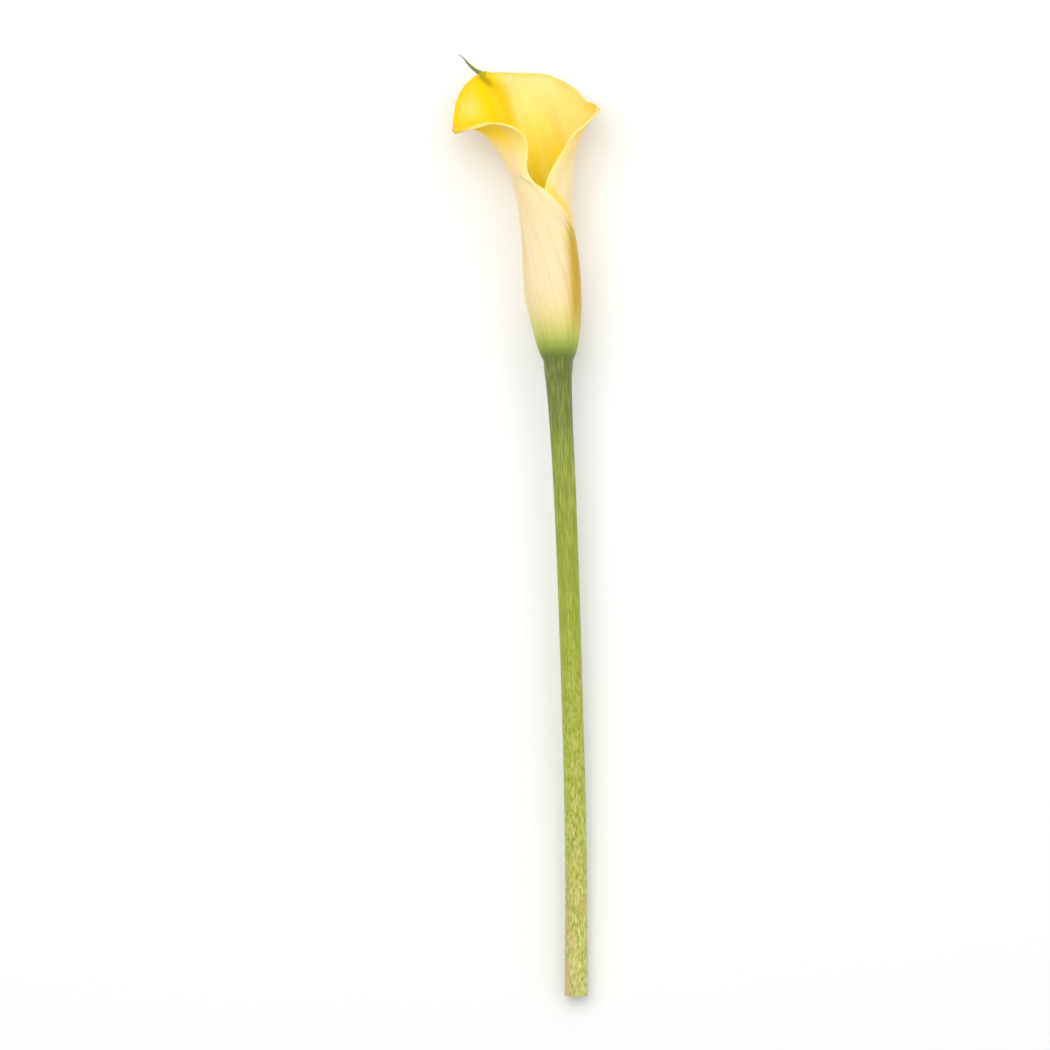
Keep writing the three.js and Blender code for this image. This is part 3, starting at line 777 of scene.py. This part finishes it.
shader.inputs["Subsurface Scale"].default_value = 0.001
stalk.data.materials.append(pith)

# Spadix: the fleshy finger inside the tube, grown on from the stalk. It is packed with tiny flowers that
# have no petals: pale green pistils with a round stigma in the lower part, and above them pairs of anthers
# that are dusty with golden pollen.
SPADIX_LENGTH = 38
# Height over the foot of the spathe, and radius.
SPADIX_RADIUS = [
    (-0.2, 2.7), (0.4, 2.8), (4, 2.75), (6, 2.6), (14, 2.45), (26, 2.25), (34, 1.7), (36.6, 1.15),
    (37.7, 0.5), (38, 0.05),
]
SPADIX_SIDES = 32
SPADIX_RINGS = 60
# Each floret is turned by the golden angle from the last. Then, by kind: the heights, and how many there are.
GOLDEN_ANGLE = math.pi * (3 - math.sqrt(5))
PISTIL_FROM, PISTIL_TO, PISTILS = 6.4, 14.2, 64
ANTHER_FROM, ANTHER_TO, ANTHERS = 14.9, 37.6, 300
PISTIL_RADIUS = 0.62
ANTHER_RADIUS = 0.46

bpy.ops.object.select_all(action="DESELECT")
bpy.ops.mesh.primitive_cylinder_add(vertices=SPADIX_SIDES, radius=1, depth=1, end_fill_type="TRIFAN")
spadix = bpy.context.object
spadix.name = "spadix_finger"
mesh = spadix.data
bpy.ops.object.mode_set(mode="EDIT")
bpy.ops.mesh.select_mode(type="EDGE")
bpy.ops.mesh.select_all(action="DESELECT")
bm = bmesh.from_edit_mesh(mesh)
for edge in bm.edges:
    edge.select_set(abs(edge.verts[0].co.z - edge.verts[1].co.z) > 0.5)
bmesh.update_edit_mesh(mesh)
bpy.ops.mesh.subdivide(number_cuts=SPADIX_RINGS - 1)
bpy.ops.object.mode_set(mode="OBJECT")


def on_spadix(y, angle, radius):
    """Place in metres, by height above the foot of the spathe, direction and distance from the middle."""
    spot = Vector((axis_x(y) + radius * math.sin(angle), y, axis_z(y) + radius * math.cos(angle)))
    return spot * MM + SPATHE_FOOT


for v in mesh.vertices:
    y = SPADIX_RADIUS[0][0] + (v.co.z + 0.5) * (SPADIX_LENGTH - SPADIX_RADIUS[0][0])
    radius = float(through(SPADIX_RADIUS, y)) * math.hypot(v.co.x, v.co.y)
    v.co = on_spadix(y, math.atan2(v.co.x, v.co.y), radius)
bpy.ops.object.mode_set(mode="EDIT")
bpy.ops.mesh.select_all(action="SELECT")
bpy.ops.mesh.normals_make_consistent(inside=False)
bpy.ops.object.mode_set(mode="OBJECT")

# One pistil: a bottle-shaped ovary with a flat round stigma. One anther: two lobes with a furrow between.
bpy.ops.mesh.primitive_uv_sphere_add(segments=8, ring_count=6, radius=1)
pistil = bpy.context.object
for v in pistil.data.vertices:
    waist = 1 - 0.35 * math.exp(-((v.co.z - 0.55) / 0.2) ** 2)
    v.co = (v.co.x * waist, v.co.y * waist, min(v.co.z, 0.86) * 1.15)
bpy.ops.mesh.primitive_uv_sphere_add(segments=10, ring_count=5, radius=1)
anther = bpy.context.object
for v in anther.data.vertices:
    furrow = 0.45 * math.exp(-(v.co.x / 0.3) ** 2) * max(v.co.z, 0)
    v.co = (v.co.x * 1.1, v.co.y * 0.8, v.co.z * 0.8 - furrow)

draw = np.random.default_rng(7)
parts = [spadix]
kinds = (
    (pistil, 1, PISTILS, PISTIL_FROM, PISTIL_TO, PISTIL_RADIUS),
    (anther, 2, ANTHERS, ANTHER_FROM, ANTHER_TO, ANTHER_RADIUS),
)
for model, slot, count, low, high, size in kinds:
    for i in range(count):
        angle = i * GOLDEN_ANGLE
        y = low + (high - low) * i / (count - 1) + draw.uniform(-0.12, 0.12)
        floret = bpy.data.objects.new("floret", model.data.copy())
        bpy.context.collection.objects.link(floret)
        radius = float(through(SPADIX_RADIUS, y))
        outwards = Vector((math.sin(angle), 0.25 if y < 35 else 1.2, math.cos(angle))).normalized()
        turn = outwards.to_track_quat("Z", "Y").to_matrix()
        turn @= Matrix.Rotation(draw.uniform(-0.7, 0.7), 3, "Z")
        scale = size * draw.uniform(0.88, 1.1)
        spot = on_spadix(y, angle, radius + 0.1)
        for v in floret.data.vertices:
            v.co = turn @ v.co * scale * MM + spot
        for face in floret.data.polygons:
            face.material_index = slot
        parts.append(floret)
for model in (pistil, anther):
    bpy.data.objects.remove(model)
bpy.ops.object.select_all(action="DESELECT")
# The flesh and the pistils are moist and a little translucent, and pollen makes the anthers matte and gritty.
FINISHES = (
    ("spadix_flesh", "#d9dc8e", "#eeeeb4", 0.5), ("pistil_tissue", "#d6d98a", "#eeeeb4", 0.5),
    ("pollen_dusted_anthers", "#e3a812", "#f8cf3a", 0.85),
)
for name, colour, light, roughness in FINISHES:
    finish = bpy.data.materials.new(name)
    finish.use_nodes = True
    tree = finish.node_tree
    shader = tree.nodes["Principled BSDF"]
    spot = add(tree, "ShaderNodeTexCoord").outputs["Object"]
    # Pollen grains of 0.03 mm are far too fine to show, so the dust is drawn in clumps of about 0.3 mm.
    dust = add(tree, "ShaderNodeTexNoise", Vector=spot, Scale=3300.0, Detail=3.0).outputs["Fac"]
    grainy = add(tree, "ShaderNodeMapRange", i0=dust, i1=0.4, i2=0.65).outputs[0]
    dusty = add(tree, "ShaderNodeMix", OVER, i0=grainy, i6=linear(colour), i7=linear(light)).outputs[2]
    tree.links.new(dusty, shader.inputs["Base Color"])
    bump = add(tree, "ShaderNodeBump", Height=dust, Strength=0.5, Distance=0.00008).outputs[0]
    tree.links.new(bump, shader.inputs["Normal"])
    shader.inputs["Roughness"].default_value = roughness
    shader.inputs["Subsurface Weight"].default_value = 0.2
    shader.inputs["Subsurface Scale"].default_value = 0.0008
    spadix.data.materials.append(finish)
for part in parts:
    while len(part.data.materials) < 3:
        part.data.materials.append(spadix.data.materials[len(part.data.materials)])
    part.select_set(True)
bpy.context.view_layer.objects.active = spadix
bpy.ops.object.join()
bpy.ops.object.shade_smooth()

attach(spadix, "root")
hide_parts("spadix")

# Studio: white paper, so matte that it shows only the soft shadow, under three large soft lamps, and a long
# lens that looks straight down.
bpy.ops.mesh.primitive_plane_add(size=12)
floor = bpy.context.object
floor.name = "floor"
paper = bpy.data.materials.new("white_paper")
paper.use_nodes = True
paper.node_tree.nodes["Principled BSDF"].inputs["Base Color"].default_value = linear("#fafaf9")
paper.node_tree.nodes["Principled BSDF"].inputs["Roughness"].default_value = 0.8
floor.data.materials.append(paper)

world = bpy.data.worlds.new("studio")
world.use_nodes = True
world.node_tree.nodes["Background"].inputs["Color"].default_value = linear("#ffffff")
world.node_tree.nodes["Background"].inputs["Strength"].default_value = 0.42
bpy.context.scene.world = world

LAMPS = (
    ("key", (-0.42, 0.3, 1.0), 1.0, 6.9), ("top", (0.35, 0.7, 0.95), 1.3, 5.4),
    ("fill", (0.75, -0.15, 0.75), 1.2, 2.4),
)
for name, place, size, power in LAMPS:
    bpy.ops.object.light_add(type="AREA", location=place)
    lamp = bpy.context.object
    lamp.name = name
    lamp.data.size = size
    lamp.data.energy = power
    lamp.rotation_euler = Vector(place).to_track_quat("Z", "Y").to_euler()

CAMERA_DISTANCE = 3.6
LENS = 360
bpy.ops.object.camera_add(location=(0, 0, CAMERA_DISTANCE), rotation=(0, 0, 0))
camera = bpy.context.object
camera.data.lens = LENS
bpy.context.scene.camera = camera
bpy.context.scene.view_settings.view_transform = "Standard"
